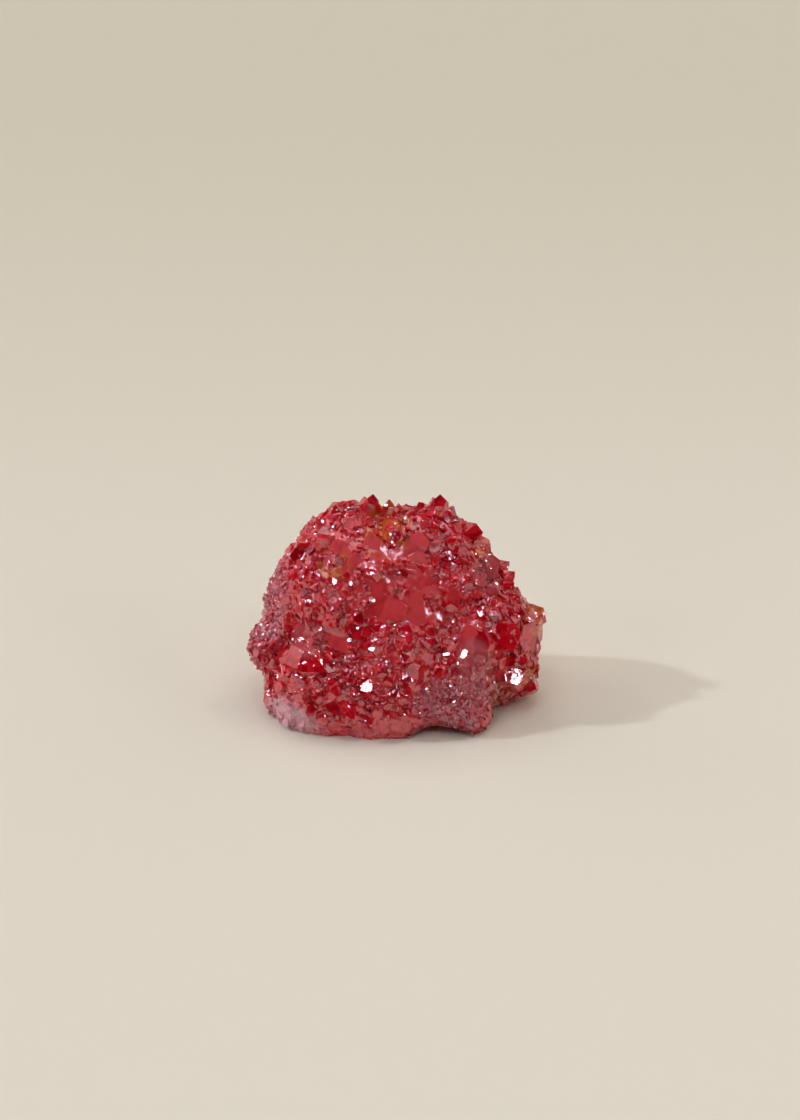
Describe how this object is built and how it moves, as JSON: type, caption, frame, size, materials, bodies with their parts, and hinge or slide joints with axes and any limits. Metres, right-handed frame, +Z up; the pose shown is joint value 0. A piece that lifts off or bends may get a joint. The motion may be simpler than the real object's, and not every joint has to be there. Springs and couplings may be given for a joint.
{
  "type": "geode",
  "caption": "Palm-sized chunk of red coated quartz druse: a lumpy massive quartz body overgrown with six-sided points, broken flat underneath so that it rests on a shelf or table.",
  "frame": {"origin": "middle of the footprint's box, on the surface that the chunk rests on", "axes": "+X to the right along the longest side, +Y to the back, +Z up; the tall crystal face looks towards -Y"},
  "size_m": [0.0652, 0.0468, 0.0456],
  "materials": {
    "coated_quartz": "glossy iridescent red film over quartz crystals, with fine sparkling druse and bare milky patches"
  },
  "bodies": {
    "root": {"geode": "coated_quartz"}
  },
  "joints": []
}
